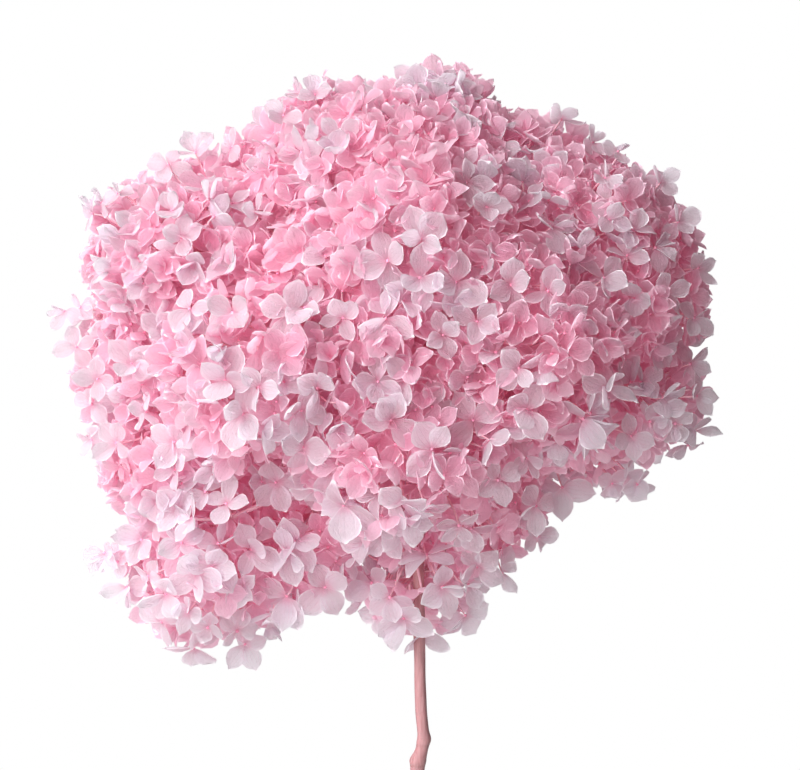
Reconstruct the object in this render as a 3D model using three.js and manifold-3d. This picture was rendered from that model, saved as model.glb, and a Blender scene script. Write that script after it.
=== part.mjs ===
// A preserved mophead hydrangea on its cut stem, standing dry in a plain glass jar.
// Millimetres, +Z up. The origin is the middle of the jar's underside, and -Y is the front.
import * as THREE from "three";
import { mergeVertices } from "three/addons/utils/BufferGeometryUtils.js";
import Module from "manifold-3d";

const wasm = await Module();
wasm.setup();

// Driving dimensions

const jar = {
  height: 150,
  bodyRadius: 46,
  footRadius: 42, // of the flat that it stands on
  wall: 3.2,
  floor: 8,
  shoulderHeight: 112, // where the straight side ends
  shoulderPull: 17, // how far the side's curve runs on upwards
  neckPull: 12, // how far the neck's curve reaches down
  neckHeight: 134, // where the shoulder ends
  mouthRadius: 21, // inside the neck
  rimRadius: 27, // outside the rolled rim
  rimHeight: 6,
  sides: 40,
  curveSteps: 3, // in each round stretch of the outline
};

const stem = {
  lowRadius: 2.8, // the older wood under the bud joint
  jointRadius: 3.1,
  jointLength: 5,
  highRadius: 2.4,
  jointHeight: 163,
  topHeight: 300,
  sides: 10,
  steps: 30,
  clearance: 0.3, // to whatever it stands in or leans on
};

const head = {
  middle: new THREE.Vector3(-9, -20, 334),
  coreShare: 0.72, // each cluster's core, as a share of the cluster's size
  coreDetail: 3, // how often the core's first twenty triangles are divided
  coreLumps: 7, // between its highest and lowest corners
};

// The clusters of the head: each is an ellipsoid, its middle given from the head's middle.
const clusters = {
  heart: { at: [0, 0, 0], half: [98, 84, 78] },
  crown: { at: [-6, 2, 49], half: [69, 70, 48] },
  crownLeft: { at: [-34, -6, 62], half: [26, 30, 38] },
  crownMiddle: { at: [14, -2, 70], half: [26, 32, 34] },
  crownRight: { at: [57, 0, 50], half: [29, 40, 34] },
  leftShoulder: { at: [-70, -6, 26], half: [51, 58, 47] },
  rightShoulder: { at: [64, 0, 31], half: [47, 56, 42] },
  rightHigh: { at: [86, 2, 31], half: [32, 48, 32] },
  rightSide: { at: [88, 4, 10], half: [36, 54, 42] },
  rightTip: { at: [100, 0, -28], half: [23, 34, 22] },
  leftSide: { at: [-98, 2, -12], half: [28, 42, 36] },
  leftTuft: { at: [-116, -4, 2], half: [9, 14, 14] },
  leftSkirt: { at: [-88, -2, -50], half: [33, 42, 36] },
  leftHanging: { at: [-78, -4, -96], half: [34, 38, 32] },
  lowLeft: { at: [-34, -8, -92], half: [20, 26, 25] },
  lowMiddle: { at: [12, 0, -98], half: [21, 24, 26] },
  lowRight: { at: [34, -6, -64], half: [34, 42, 34] },
  rightSkirt: { at: [76, -2, -36], half: [30, 42, 27] },
  frontLeft: { at: [-44, -50, -18], half: [44, 36, 40] },
  frontHigh: { at: [8, -44, 30], half: [42, 38, 38] },
  frontRight: { at: [48, -46, -8], half: [40, 34, 38] },
  frontLow: { at: [4, -46, -50], half: [38, 34, 32] },
  backLeft: { at: [-46, 46, 0], half: [46, 40, 42] },
  backHigh: { at: [4, 42, 28], half: [44, 40, 38] },
  backRight: { at: [50, 44, -14], half: [42, 38, 40] },
  backLow: { at: [-2, 40, -56], half: [42, 36, 32] },
};

const floret = {
  count: 240,
  inset: 2, // of their middles below the clusters' own surface
  spacing: 22.4, // the least between the middles of two florets
  fromStem: 9, // the least from a floret's middle to the stem's
  petalLength: 17.5, // larger than life, so that fewer cover the head
  petalHalfWidth: 8.8,
  shoulderShare: 0.62, // of a petal's length, where it is widest
  notchRadius: 8, // where two petals part
  thickness: 2.2, // at the middle; the rim is a fine edge
  cup: 3.4, // how far the petals' shoulders stand above the middle
  notchLift: 1.2,
  tipLift: 0.55, // of its shoulders' lift
  tilt: 0.48, // radians, the most that one leans from straight out
  rise: 4, // the most that one stands above or below its neighbours
  stalkRadius: 1.2,
  rootDepth: 9, // how far a stalk is sunk in the core
};

const seed = 41;
const mostTries = 30000;

// Tools

// Evenly spread numbers from 0 to 1, the same in every run.
function seededRandom(start) {
  let state = start >>> 0;
  return () => {
    state = (state + 0x6d2b79f5) >>> 0;
    let mixed = Math.imul(state ^ (state >>> 15), 1 | state);
    mixed = (mixed + Math.imul(mixed ^ (mixed >>> 7), 61 | mixed)) ^ mixed;
    return ((mixed ^ (mixed >>> 14)) >>> 0) / 2 ** 32;
  };
}

function bareMerged(geometry) {
  geometry.deleteAttribute("normal");
  geometry.deleteAttribute("uv");
  return mergeVertices(geometry);
}

function toSolid(geometry) {
  const merged = bareMerged(geometry);
  const mesh = new wasm.Mesh({
    numProp: 3,
    vertProperties: merged.attributes.position.array,
    triVerts: new Uint32Array(merged.index.array),
  });
  return new wasm.Manifold(mesh);
}

function toGeometry(solid) {
  const mesh = solid.getMesh();
  const geometry = new THREE.BufferGeometry();
  geometry.setAttribute("position", new THREE.BufferAttribute(mesh.vertProperties, 3));
  geometry.setIndex(new THREE.BufferAttribute(mesh.triVerts, 1));
  geometry.computeVertexNormals();
  return geometry;
}

// The largest body of a solid, without sealed hollows and loose scraps.
function largestBody(solid) {
  const larger = (best, body) => (body.volume() > best.volume() ? body : best);
  return solid.decompose().reduce(larger);
}

function closedGeometry(points, triangles) {
  const geometry = new THREE.BufferGeometry();
  const numbers = points.flatMap((point) => point.toArray());
  geometry.setAttribute("position", new THREE.Float32BufferAttribute(numbers, 3));
  geometry.setIndex(triangles.flat());
  return geometry;
}

// Jar

function jarOutline() {
  const neckRadius = jar.mouthRadius + jar.wall;
  const insideRadius = jar.bodyRadius - jar.wall;
  const footRise = jar.bodyRadius - jar.footRadius;
  const rimMiddle = jar.height - jar.rimHeight / 2;
  const lip = jar.wall / 2;
  const line = new THREE.Path();
  line.moveTo(0, 0);
  line.lineTo(jar.footRadius, 0);
  line.quadraticCurveTo(jar.bodyRadius, 0, jar.bodyRadius, footRise);
  line.lineTo(jar.bodyRadius, jar.shoulderHeight);
  const shoulderTop = jar.shoulderHeight + jar.shoulderPull;
  const neckBottom = jar.neckHeight - jar.neckPull;
  line.bezierCurveTo(jar.bodyRadius, shoulderTop, neckRadius, neckBottom, neckRadius, jar.neckHeight);
  line.lineTo(neckRadius, jar.height - jar.rimHeight - 1);
  line.quadraticCurveTo(jar.rimRadius, jar.height - jar.rimHeight, jar.rimRadius, rimMiddle);
  line.quadraticCurveTo(jar.rimRadius, jar.height, neckRadius - lip, jar.height);
  line.quadraticCurveTo(jar.mouthRadius, jar.height, jar.mouthRadius, jar.height - lip);
  line.lineTo(jar.mouthRadius, jar.neckHeight);
  line.bezierCurveTo(
    jar.mouthRadius, neckBottom - lip, insideRadius, shoulderTop - jar.wall, insideRadius, jar.shoulderHeight,
  );
  line.lineTo(insideRadius, jar.floor + footRise);
  line.quadraticCurveTo(insideRadius, jar.floor, insideRadius - footRise, jar.floor);
  line.lineTo(0, jar.floor);
  return line.getPoints(jar.curveSteps);
}

function makeJar() {
  const turned = new THREE.LatheGeometry(jarOutline(), jar.sides);
  turned.rotateX(Math.PI / 2); // the lathe turns about Y, and the jar stands along Z
  return toGeometry(toSolid(turned));
}

// Stem

// Its foot stands on the jar's floor at the back, and it leans on the front of the mouth.
const mouthTouch = -(jar.mouthRadius - stem.lowRadius - stem.clearance);
const stemLine = new THREE.CatmullRomCurve3(
  [
    new THREE.Vector3(-7, 28, jar.floor + stem.clearance),
    new THREE.Vector3(-5, 13, 50),
    new THREE.Vector3(-2.5, -4, 105),
    new THREE.Vector3(-0.6, mouthTouch, jar.height),
    new THREE.Vector3(0, mouthTouch - 4.4, stem.jointHeight),
    new THREE.Vector3(2, mouthTouch - 5.6, stem.jointHeight + 7),
    new THREE.Vector3(1, mouthTouch - 6, stem.jointHeight + 22),
    new THREE.Vector3(0.4, mouthTouch - 5, stem.jointHeight + 45),
    new THREE.Vector3(0, mouthTouch - 4, stem.jointHeight + 80),
    new THREE.Vector3(-2, mouthTouch - 2, stem.topHeight),
  ],
  false,
  "centripetal",
);

function stemRadius(z) {
  const fromJoint = (z - stem.jointHeight) / stem.jointLength;
  const swelling = (stem.jointRadius - stem.lowRadius) * Math.exp(-fromJoint * fromJoint);
  const above = THREE.MathUtils.smoothstep(z, stem.jointHeight, stem.jointHeight + 2 * stem.jointLength);
  return THREE.MathUtils.lerp(stem.lowRadius, stem.highRadius, above) + swelling;
}

// A round bar along the stem's line, `extra` wider and that much longer at its top, with flat ends.
function stemBar(extra) {
  const { sides, steps } = stem;
  const points = [];
  const triangles = [];
  for (let i = 0; i <= steps; i++) {
    const middle = stemLine.getPoint(i / steps);
    if (i === steps) middle.z += extra;
    const radius = stemRadius(middle.z) + extra;
    for (let k = 0; k < sides; k++) {
      const angle = (2 * Math.PI * k) / sides;
      points.push(new THREE.Vector3(Math.cos(angle) * radius, Math.sin(angle) * radius, 0).add(middle));
    }
  }
  for (let i = 0; i < steps; i++)
    for (let k = 0; k < sides; k++) {
      const here = i * sides + k;
      const next = i * sides + ((k + 1) % sides);
      triangles.push([here, next, next + sides], [here, next + sides, here + sides]);
    }
  const top = steps * sides;
  for (let k = 1; k < sides - 1; k++) triangles.push([0, k + 1, k], [top, top + k, top + k + 1]);
  return closedGeometry(points, triangles);
}

// Flower head

// Where the ray from the head's middle along `way` leaves the last cluster, and that cluster's outward normal.
// Each cluster is taken smaller by the inset and then by the share.
function edgeOfHead(way, share, inset = 0) {
  let reach = 0;
  let normal = way;
  for (const { at, half } of Object.values(clusters)) {
    const shrink = new THREE.Vector3(...half.map((h) => 1 / ((h - inset) * share)));
    const from = new THREE.Vector3(...at).negate().multiply(shrink);
    const along = way.clone().multiply(shrink);
    const square = along.dot(along);
    const slope = from.dot(along);
    const inside = slope * slope - square * (from.dot(from) - 1);
    const exit = (-slope + Math.sqrt(Math.max(inside, 0))) / square;
    if (inside <= 0 || exit <= reach) continue;
    reach = exit;
    normal = from.addScaledVector(along, exit).multiply(shrink).normalize();
  }
  return { reach, normal, point: head.middle.clone().addScaledVector(way, reach) };
}

function randomWay(random) {
  const height = 2 * random() - 1;
  const angle = 2 * Math.PI * random();
  const radius = Math.sqrt(1 - height * height);
  return new THREE.Vector3(radius * Math.cos(angle), radius * Math.sin(angle), height);
}

// Places for florets: one at each cluster's far end, then all over the head, no two nearer than the spacing.
function floretPlaces(random) {
  const found = [];
  const middles = Object.values(clusters).map(({ at }) => new THREE.Vector3(...at));
  const farEnds = middles.filter((middle) => middle.length() > 0);
  const stemTop = stemLine.getPoint(1);
  for (let tries = 0; tries < mostTries && found.length < floret.count; tries++) {
    const way = tries < farEnds.length ? farEnds[tries].normalize() : randomWay(random);
    const { point, normal } = edgeOfHead(way, 1, floret.inset);
    const fromStem = Math.hypot(point.x - stemTop.x, point.y - stemTop.y);
    const onStem = point.z < head.middle.z && fromStem < floret.fromStem;
    if (onStem || found.some((other) => other.point.distanceTo(point) < floret.spacing)) continue;
    found.push({ point, normal, way });
  }
  return found;
}

// The sixteen corners of a floret's rim: each blunt petal has a notch, a shoulder, a tip and a shoulder.
function floretRim(size, random) {
  const rim = [];
  const notch = (floret.notchRadius * size) / Math.SQRT2;
  for (let petal = 0; petal < 4; petal++) {
    const length = floret.petalLength * size * (0.92 + 0.16 * random());
    const lift = floret.cup * (0.5 + random());
    const shoulder = length * floret.shoulderShare;
    const side = floret.petalHalfWidth * size;
    const corners = [
      new THREE.Vector3(notch, -notch, floret.notchLift),
      new THREE.Vector3(shoulder, -side, lift),
      new THREE.Vector3(length, 0, lift * floret.tipLift),
      new THREE.Vector3(shoulder, side, lift),
    ];
    const turn = new THREE.Matrix4().makeRotationZ((petal * Math.PI) / 2);
    rim.push(...corners.map((corner) => corner.applyMatrix4(turn)));
  }
  return rim;
}

// Four petals in a shallow cup, thick at the middle and fine at the rim, on a three-sided stalk rooted in the core.
function floretSolid(place, random) {
  const size = 0.88 + 0.24 * random();
  const lean = Math.tan(floret.tilt) * random();
  const facing = place.normal.clone().addScaledVector(randomWay(random), lean).normalize();
  const up = new THREE.Vector3(0, 0, 1);
  const turn = new THREE.Quaternion().setFromUnitVectors(up, facing);
  turn.multiply(new THREE.Quaternion().setFromAxisAngle(up, random() * Math.PI));
  const middle = place.point.clone().addScaledVector(place.normal, floret.rise * (2 * random() - 1));
  const rim = floretRim(size, random);
  const stalkAngles = [0, 1, 2].map((k) => (2 * Math.PI * k) / 3 + Math.PI / 4);
  const stalkTop = stalkAngles.map(
    (angle) =>
      new THREE.Vector3(
        Math.cos(angle) * floret.stalkRadius, Math.sin(angle) * floret.stalkRadius, -floret.thickness,
      ),
  );
  // Each rim corner is joined underneath to the stalk corner that it lies nearest to.
  const nearest = rim.map((corner) => {
    const gaps = stalkTop.map((top) => top.distanceTo(corner));
    return 1 + rim.length + gaps.indexOf(Math.min(...gaps));
  });
  const points = [new THREE.Vector3(), ...rim, ...stalkTop];
  for (const point of points) point.applyQuaternion(turn).add(middle);
  const core = edgeOfHead(place.way, head.coreShare);
  const root = head.middle.clone().addScaledVector(place.way, core.reach - floret.rootDepth);
  const toRoot = root.clone().sub(middle);
  points.push(...stalkTop.map((top) => top.clone().add(toRoot)));
  const triangles = [];
  rim.forEach((_, i) => {
    const j = (i + 1) % rim.length;
    triangles.push([0, 1 + i, 1 + j], [1 + j, 1 + i, nearest[i]]);
    if (nearest[j] !== nearest[i]) triangles.push([1 + j, nearest[i], nearest[j]]);
  });
  const first = 1 + rim.length;
  const sides = stalkTop.length;
  for (let k = 0; k < sides; k++) {
    const top = first + k;
    const nextTop = first + ((k + 1) % sides);
    triangles.push([top, top + sides, nextTop + sides], [top, nextTop + sides, nextTop]);
  }
  triangles.push([first + 2 * sides - 1, first + 2 * sides - 2, first + sides]);
  return toSolid(closedGeometry(points, triangles));
}

// The lumpy mass of branches and inner florets that the outer florets stand out of.
function coreSolid(random) {
  const core = bareMerged(new THREE.IcosahedronGeometry(1, head.coreDetail));
  const position = core.attributes.position;
  for (let i = 0; i < position.count; i++) {
    const way = new THREE.Vector3().fromBufferAttribute(position, i).normalize();
    const { point } = edgeOfHead(way, head.coreShare);
    point.addScaledVector(way, head.coreLumps * (random() - 0.5));
    position.setXYZ(i, point.x, point.y, point.z);
  }
  return toSolid(core);
}

function makeHead() {
  const random = seededRandom(seed);
  const florets = floretPlaces(random).map((place) => floretSolid(place, random));
  const joined = wasm.Manifold.union([coreSolid(random), ...florets]);
  const socket = toSolid(stemBar(stem.clearance));
  return toGeometry(largestBody(joined.subtract(socket)));
}

// The object

function piece(name, geometry, look) {
  const mesh = new THREE.Mesh(geometry, new THREE.MeshStandardMaterial(look));
  mesh.name = name;
  return mesh;
}

const glass = { color: 0xeef6f4, roughness: 0.05, metalness: 0, transparent: true, opacity: 0.35 };
const pinkStem = { color: 0xe3a1a6, roughness: 0.5, metalness: 0 };
const pinkPetals = { color: 0xf2c3d3, roughness: 0.6, metalness: 0 };

const hydrangea = new THREE.Group();
hydrangea.add(
  piece("glass_jar", makeJar(), glass),
  piece("stem", toGeometry(toSolid(stemBar(0))), pinkStem),
  piece("flower_head", makeHead(), pinkPetals),
);

export default hydrangea;
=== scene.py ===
# A preserved pink hydrangea in a plain glass jar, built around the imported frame.
# Metres, +Z up, the front towards -Y.
import math

import bpy
import numpy as np
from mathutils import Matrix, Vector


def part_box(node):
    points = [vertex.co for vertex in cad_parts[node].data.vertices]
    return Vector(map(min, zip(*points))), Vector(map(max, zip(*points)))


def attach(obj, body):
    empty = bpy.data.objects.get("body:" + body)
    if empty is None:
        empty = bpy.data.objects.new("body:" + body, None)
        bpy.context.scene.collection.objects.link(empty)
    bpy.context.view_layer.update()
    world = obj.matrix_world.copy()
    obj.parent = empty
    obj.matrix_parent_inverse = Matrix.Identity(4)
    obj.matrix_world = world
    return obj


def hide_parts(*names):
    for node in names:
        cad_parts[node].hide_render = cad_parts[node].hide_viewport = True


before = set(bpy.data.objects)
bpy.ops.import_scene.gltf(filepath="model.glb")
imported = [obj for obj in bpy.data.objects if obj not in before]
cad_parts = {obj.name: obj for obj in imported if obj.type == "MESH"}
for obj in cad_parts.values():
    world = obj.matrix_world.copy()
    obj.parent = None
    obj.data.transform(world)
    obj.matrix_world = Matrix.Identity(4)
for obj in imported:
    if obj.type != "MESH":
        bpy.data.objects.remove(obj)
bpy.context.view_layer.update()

mm = 0.001
rng = np.random.default_rng(41)
scene = bpy.context.scene

headLow, headHigh = (np.array(corner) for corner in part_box("flower_head"))
jarLow, jarHigh = (np.array(corner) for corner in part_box("glass_jar"))
headTall = 240.5  # in head units, which the cluster sizes below are given in
headOffset = (9.0, 20.0, 110.4)  # how far its middle is from the jar's axis, and below its top
headUnit = (headHigh[2] - headLow[2]) / headTall
headMiddle = np.array([0, 0, headHigh[2]]) - np.array(headOffset) * headUnit


def unit(vectors):
    return vectors / np.maximum(np.linalg.norm(vectors, axis=-1, keepdims=True), 1e-12)


def randomWays(count):
    return unit(rng.normal(size=(count, 3)))


def sidewaysOf(directions):  # for each direction, two more that stand square to it
    helper = np.where(np.abs(directions[..., 2:3]) < 0.9, [0.0, 0.0, 1.0], [1.0, 0.0, 0.0])
    right = unit(np.cross(helper, directions))
    return right, np.cross(directions, right)


def waysRound(axis, widest, count):  # random directions at most `widest` radians from an axis
    lean = np.arccos(rng.uniform(math.cos(widest), 1, count))[:, None]
    turn = rng.uniform(0, 2 * np.pi, count)[:, None]
    right, up = sidewaysOf(axis)
    return axis * np.cos(lean) + (right * np.cos(turn) + up * np.sin(turn)) * np.sin(lean)


def curves(controls, steps):  # smooth curves: each control is one point, or one point for each curve
    t = np.linspace(0, 1, steps)[:, None]
    levels = [np.asarray(control, float)[..., None, :] for control in controls]
    while len(levels) > 1:
        levels = [a * (1 - t) + b * t for a, b in zip(levels, levels[1:])]
    return levels[0]


view = {
    "pixelsWide": 800,
    "pixelsHigh": 770,
    "metresPerPixel": 0.4 * mm,  # on the upright plane through the head's middle
    "axisColumn": 418,  # the picture column where the jar's axis is
    "bottomHeight": 158 * mm,  # the real height at the picture's lower edge
    "cameraHeight": 280 * mm,
    "distance": 0.70,
    "sensor": 36.0,
}
pictureMiddle = np.array([view["pixelsWide"], view["pixelsHigh"]]) / 2
target = np.array([
    (pictureMiddle[0] - view["axisColumn"]) * view["metresPerPixel"],
    headMiddle[1],
    view["bottomHeight"] + pictureMiddle[1] * view["metresPerPixel"],
])
cameraPlace = np.array([target[0], target[1] - view["distance"], view["cameraHeight"]])
ahead = unit(target - cameraPlace)
upward = np.cross([1, 0, 0], ahead)
pixelsAway = np.linalg.norm(target - cameraPlace) / view["metresPerPixel"]


def makeCamera():
    data = bpy.data.cameras.new("camera")
    data.sensor_width = view["sensor"]
    data.lens = view["sensor"] * pixelsAway / view["pixelsWide"]
    camera = bpy.data.objects.new("camera", data)
    camera.location = cameraPlace
    camera.rotation_euler = (math.pi / 2 + math.asin(ahead[2]), 0, 0)
    scene.collection.objects.link(camera)
    scene.camera = camera


def pixelRay(column, row):  # the direction from the camera through a pixel
    across, down = np.array([column, row]) - pictureMiddle
    return unit(ahead * pixelsAway + np.array([across, 0, 0]) - upward * down)


def toPixel(point):  # the picture column and row of a point
    seen = point - cameraPlace
    return pictureMiddle + np.array([seen[0], -(seen @ upward)]) / (seen @ ahead) * pixelsAway


class Field:  # one output socket, with Python's operators as Math nodes
    def __init__(self, finish, socket):
        self.finish = finish
        self.socket = socket

    def maths(self, operation, first, second=0.0):
        return self.finish.node("ShaderNodeMath", {"operation": operation}, {0: first, 1: second})

    def __add__(self, other):
        return self.maths("ADD", self, other)

    def __sub__(self, other):
        return self.maths("SUBTRACT", self, other)

    def __mul__(self, other):
        return self.maths("MULTIPLY", self, other)

    def __rsub__(self, other):
        return self.maths("SUBTRACT", other, self)

    def __abs__(self):
        return self.maths("ABSOLUTE", self)

    __radd__ = __add__
    __rmul__ = __mul__

    def sine(self):
        return self.maths("SINE", self)

    def atLeast(self, other):
        return self.maths("MAXIMUM", self, other)


class Finish:  # one material, or the studio's surroundings, and its nodes
    def __init__(self, owner):
        self.owner = owner
        owner.use_nodes = True
        self.tree = owner.node_tree
        self.tree.nodes.clear()

    def node(self, kind, settings=None, values=None, output=0):
        made = self.tree.nodes.new(kind)
        for name, setting in (settings or {}).items():
            setattr(made, name, setting)
        for name, value in (values or {}).items():
            socket = made.inputs[name]
            if isinstance(value, Field):
                self.tree.links.new(value.socket, socket)
            else:
                socket.default_value = (*value, 1.0) if socket.type == "RGBA" else value
        return Field(self, made.outputs[output]) if made.outputs else None

    def parts(self, vector):
        made = self.node("ShaderNodeSeparateXYZ", None, {0: vector}).socket.node
        return tuple(Field(self, socket) for socket in made.outputs)

    def marks(self):  # the three values that each point of a mesh carries
        return self.parts(self.node("ShaderNodeAttribute", {"attribute_name": "marks"}, output="Vector"))

    def mix(self, below, above, amount):
        return self.node("ShaderNodeMix", {"data_type": "RGBA"}, {0: amount, 6: below, 7: above}, output=2)

    def step(self, low, high, value):  # rises smoothly from 0 to 1 between low and high
        settings = {"interpolation_type": "SMOOTHSTEP"}
        values = {"Value": value, "From Min": low, "From Max": high}
        return self.node("ShaderNodeMapRange", settings, values)

    def noise(self, scale, detail=3.0, stretch=(1, 1, 1)):
        place = self.node("ShaderNodeTexCoord", output="Object")
        place = self.node("ShaderNodeVectorMath", {"operation": "MULTIPLY"}, {0: place, 1: stretch})
        return self.node("ShaderNodeTexNoise", None, {"Vector": place, "Scale": scale, "Detail": detail})

    def bump(self, height, strength, distance):
        values = {"Strength": strength, "Distance": distance, "Height": height}
        return self.node("ShaderNodeBump", None, values)

    def finished(self, shader, kind="ShaderNodeOutputMaterial"):
        self.node(kind, None, {"Surface": shader})
        return self.owner


sharpAngle = math.radians(100)  # an edge that bends more stays crisp, as the rims of thin sheets do


class Heap:  # gathers points and faces of many small solids, then makes one mesh of them
    def __init__(self):
        self.points, self.marks, self.faces, self.cells = [], [], [], []
        self.count = 0

    def add(self, points, marks, faces, cells):  # cells: where each face corner lies on the piece's own map
        self.points.append(points.reshape(-1, 3))
        self.marks.append(marks.reshape(-1, 3))
        for face, cell in zip(faces, cells):
            self.faces.append(face.reshape(-1, face.shape[-1]) + self.count)
            self.cells.append(cell.reshape(-1, 2))
        self.count += len(self.points[-1])

    def build(self, name, material):
        mesh = bpy.data.meshes.new(name)
        corners = np.concatenate([face.ravel() for face in self.faces])
        sizes = np.concatenate([np.full(len(face), face.shape[1]) for face in self.faces])
        mesh.vertices.add(self.count)
        mesh.vertices.foreach_set("co", np.concatenate(self.points).ravel().astype(np.float32))
        mesh.loops.add(len(corners))
        mesh.loops.foreach_set("vertex_index", corners.astype(np.int32))
        mesh.polygons.add(len(sizes))
        mesh.polygons.foreach_set("loop_start", (np.cumsum(sizes) - sizes).astype(np.int32))
        mesh.update(calc_edges=True)
        mesh.shade_smooth()
        mesh.set_sharp_from_angle(angle=sharpAngle)
        marks = mesh.attributes.new("marks", "FLOAT_VECTOR", "POINT")
        marks.data.foreach_set("vector", np.concatenate(self.marks).ravel().astype(np.float32))
        layer = mesh.uv_layers.new(name="OFBake")
        layer.data.foreach_set("uv", np.concatenate(self.cells).ravel().astype(np.float32))
        mesh.materials.append(material)
        piece = bpy.data.objects.new(name, mesh)
        scene.collection.objects.link(piece)
        return piece


# The low corners, and the size, of some of the cells on a square map.
def mapCells(count, total, first):
    side = math.ceil(math.sqrt(total))
    index = np.arange(first, first + count)
    return np.stack([index % side, index // side], 1)[:, None, None] / side, 1 / side


# Faces over a grid of points, and the row and column of their corners.
def gridFaces(rows, columns, wrap=False):
    across = columns if wrap else columns - 1
    grid = np.meshgrid(np.arange(rows - 1), np.arange(across), indexing="ij")
    row, column = (part.ravel() for part in grid)
    corners = np.stack([(row, column), (row, column + 1), (row + 1, column + 1), (row + 1, column)], 1)
    corners = corners.transpose(2, 1, 0)
    return corners[..., 0] * columns + corners[..., 1] % columns, corners


# Where a tube lies on its map cell: its sides, and the middles and radius of its two ends.
tubeMap = {"low": (0.14, 0.04), "size": (0.82, 0.92), "ends": ((0.06, 0.25), (0.06, 0.75)), "radius": 0.045}


def closedTube(steps, sides):  # a tube's side faces and two end faces, and where they lie on one map cell
    turn = 2 * np.pi * np.arange(sides) / sides
    faces, corners = gridFaces(steps, sides, wrap=True)
    ends = np.stack([np.arange(sides)[::-1], np.arange(sides) + (steps - 1) * sides])
    ring = np.stack([np.cos(turn), np.sin(turn)], 1) * tubeMap["radius"]
    cells = corners / np.array([steps - 1, sides]) * tubeMap["size"] + tubeMap["low"]
    bottom, top = tubeMap["ends"]
    return turn, (faces, ends), (cells, np.stack([ring[::-1] + bottom, ring + top]))


def addTubes(heap, paths, radii, marks, sides, first, total):  # closed round bars along many paths
    count, steps, _ = paths.shape
    turn, faces, cells = closedTube(steps, sides)
    right, up = sidewaysOf(unit(np.gradient(paths, axis=1)))
    ring = right[:, :, None] * np.cos(turn)[:, None] + up[:, :, None] * np.sin(turn)[:, None]
    points = paths[:, :, None] + ring * radii[:, :, None, None]
    start = (np.arange(count) * steps * sides)[:, None, None]
    low, size = mapCells(count, total, first)
    spread = np.broadcast_to(marks[:, :, None], points.shape)
    cells = [low + cell.reshape(1, -1, 2) * size for cell in cells]
    heap.add(points, spread, [face + start for face in faces], cells)


# Each cluster is an ellipsoid: its middle from the head's middle, and its half sizes, in head units.
clusters = {
    "heart": ((0, 0, 0), (98, 84, 78)),
    "crown": ((-6, 2, 49), (69, 70, 48)),
    "crownLeft": ((-31, -6, 62), (20, 28, 38)),
    "crownMiddle": ((17, -2, 71), (28, 32, 33)),
    "crownRight": ((57, 0, 52), (29, 40, 34)),
    "leftShoulder": ((-71, -6, 25), (52, 58, 42)),
    "rightShoulder": ((64, 0, 33), (48, 56, 42)),
    "rightHigh": ((86, 2, 31), (32, 48, 32)),
    "rightSide": ((88, 4, 14), (35, 54, 37)),
    "rightTip": ((100, 0, -28), (23, 34, 20)),
    "leftSide": ((-98, 2, -12), (28, 42, 36)),
    "leftTuft": ((-116, -4, 2), (9, 14, 14)),
    "leftSkirt": ((-86, -2, -46), (32, 42, 32)),
    "leftHanging": ((-74, -4, -94), (30, 38, 31)),
    "lowLeft": ((-36, -8, -88), (20, 26, 22)),
    "lowMiddle": ((10, 0, -96), (22, 24, 26)),
    "lowRight": ((32, -6, -63), (29, 42, 32)),
    "rightSkirt": ((74, -2, -36), (30, 42, 26)),
    "frontLeft": ((-44, -50, -18), (44, 36, 40)),
    "frontHigh": ((8, -44, 30), (42, 38, 38)),
    "frontRight": ((48, -46, -8), (40, 34, 38)),
    "frontLow": ((4, -46, -50), (38, 34, 32)),
    "backLeft": ((-46, 46, 0), (46, 40, 42)),
    "backHigh": ((4, 42, 28), (44, 40, 38)),
    "backRight": ((50, 44, -14), (42, 38, 40)),
    "backLow": ((-2, 40, -56), (42, 36, 32)),
}


# How far the head reaches along each way from its middle, and the outward normal there.
def edgeOfHead(ways):
    reach = np.zeros(len(ways))
    normal = ways.copy()
    for at, half in clusters.values():
        shrink = 1 / (np.array(half) * headUnit)
        start = -np.array(at) * headUnit * shrink
        along = ways * shrink
        square = (along ** 2).sum(1)
        slope = along @ start
        inside = slope ** 2 - square * (start @ start - 1)
        leave = (-slope + np.sqrt(np.maximum(inside, 0))) / square
        further = (inside > 0) & (leave > reach)
        reach[further] = leave[further]
        normal[further] = unit((start + along * leave[:, None]) * shrink)[further]
    return reach, normal


def buried(points):  # how deep each point lies inside the cluster that covers it most
    depth = np.full(len(points), -1.0)
    for at, half in clusters.values():
        middle = headMiddle + np.array(at) * headUnit
        share = np.linalg.norm((points - middle) / (np.array(half) * headUnit), axis=1)
        depth = np.maximum(depth, (1 - share) * min(half) * headUnit)
    return depth


# Where the line of sight through a pixel meets the head, or passes closest to it.
def frontOfHead(column, row):
    halfDepth, step = 130 * mm, 0.4 * mm
    steps = np.arange(view["distance"] - halfDepth, view["distance"] + halfDepth, step)[:, None]
    sight = pixelRay(column, row)
    points = cameraPlace + sight * steps / sight[1]
    away = np.linalg.norm(points - headMiddle, axis=1)
    reach, normal = edgeOfHead(unit(points - headMiddle))
    inside = np.flatnonzero(away < reach)
    first = inside[0] if len(inside) else np.argmin(away - reach)
    return points[first], normal[first]


stemPlan = {
    "sides": 28,
    "steps": 420,
    "ridges": 5,
    "ridgeTwist": 30,  # radians in a metre
    "ridgeDepth": 0.10 * mm,
    "lumps": 0.12 * mm,
    "joints": {163 * mm: 2.9, 171 * mm: 0.1},  # heights of the bud scars, and the way each looks in radians
    "swelling": (0.25 * mm, 1.6 * mm),  # at a joint: how thick and how long
    "bud": (0.7 * mm, 2.2 * mm, 1.5 * mm),  # the same, and how far above the joint
    "scar": (0.5 * mm, -1.4 * mm),  # how long, and how far above the joint
    "smoothing": 9,
}


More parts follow.
